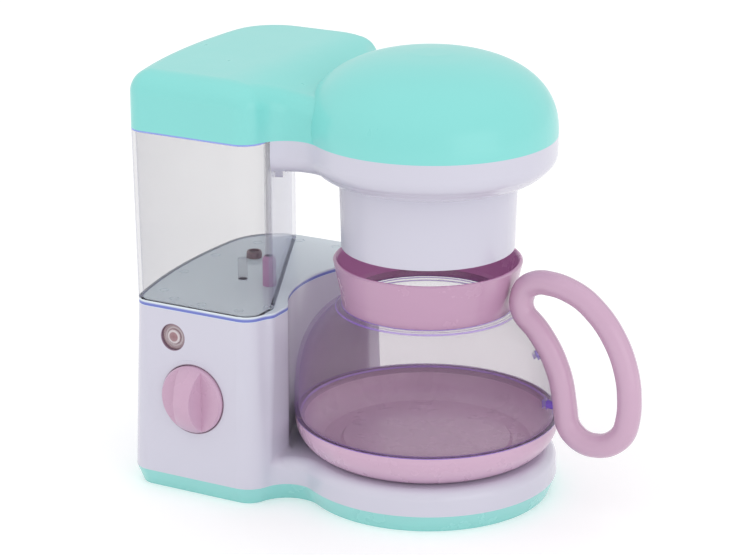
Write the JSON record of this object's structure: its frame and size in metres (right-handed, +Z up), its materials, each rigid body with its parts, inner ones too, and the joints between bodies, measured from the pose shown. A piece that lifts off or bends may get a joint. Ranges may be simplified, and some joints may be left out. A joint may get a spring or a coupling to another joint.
{
  "type": "toy coffee maker",
  "caption": "Toy drip coffee maker: clear water tank on a tower, domed head over a handled carafe on a round plate, front knob and lamp.",
  "frame": {"origin": "on the underside, on the vertical axis of the carafe", "axes": "+Z up; -Y is the front with the knob; +X from the water tower towards the carafe"},
  "size_m": [0.2311, 0.1335, 0.2021],
  "materials": {
    "teal_plastic": "gloss",
    "white_plastic": "gloss",
    "pink_plastic": "gloss",
    "clear_plastic": "clear",
    "vinyl_tube": "satin",
    "dark_plastic": "matte",
    "plated_steel": "satin",
    "battery_sleeve": "gloss",
    "circuit_board": "satin",
    "lamp_epoxy": "gloss",
    "seal_rubber": "matte"
  },
  "bodies": {
    "housing": {"bottom_tray": "teal_plastic", "battery_door": "teal_plastic", "battery_door_screw": "plated_steel", "batteries": "battery_sleeve", "battery_contacts": "plated_steel", "battery_springs": "plated_steel", "case_screws": "plated_steel", "body_shell": "white_plastic", "rotary_switch": "dark_plastic", "switch_screws": "plated_steel", "lamp_lens": "clear_plastic", "lamp": "lamp_epoxy", "lamp_board": "circuit_board", "lamp_board_screws": "plated_steel", "motor_end_cap": "dark_plastic", "motor_can": "plated_steel", "shaft_seal": "seal_rubber", "pump_housing": "dark_plastic", "pump_cover": "dark_plastic", "pump_screws": "plated_steel", "inlet_hose": "vinyl_tube", "outlet_hose": "vinyl_tube", "water_tank": "clear_plastic", "inlet_fitting": "dark_plastic", "water_nozzle": "pink_plastic", "water_hose": "vinyl_tube", "head_shell": "white_plastic", "filter_basket": "white_plastic", "basket_screws": "plated_steel", "drip_spout": "white_plastic"},
    "top_cover": {"top_cover": "teal_plastic"},
    "carafe": {"carafe_base": "pink_plastic", "carafe_jar": "clear_plastic", "carafe_collar": "pink_plastic", "handle_front": "pink_plastic", "handle_rear": "pink_plastic"},
    "knob": {"knob": "pink_plastic", "switch_spindle": "white_plastic"},
    "impeller": {"impeller": "dark_plastic", "motor_shaft": "plated_steel"}
  },
  "joints": [
    {"name": "cover_lift", "type": "slide", "parent": "housing", "child": "top_cover", "axis": [0, 0, 1], "range_m": [0, 0.06]},
    {"name": "carafe_slide", "type": "slide", "parent": "housing", "child": "carafe", "axis": [1, 0, 0], "range_m": [0, 0.14]},
    {"name": "knob_turn", "type": "hinge", "parent": "housing", "child": "knob", "pos_m": [-0.085, -0.05603, 0.046], "axis": [0, 1, 0], "range_deg": [0, 90]},
    {"name": "impeller_spin", "type": "hinge", "parent": "housing", "child": "impeller", "pos_m": [-0.1, 0.016, 0.05], "axis": [0, 0, 1], "continuous": true}
  ]
}
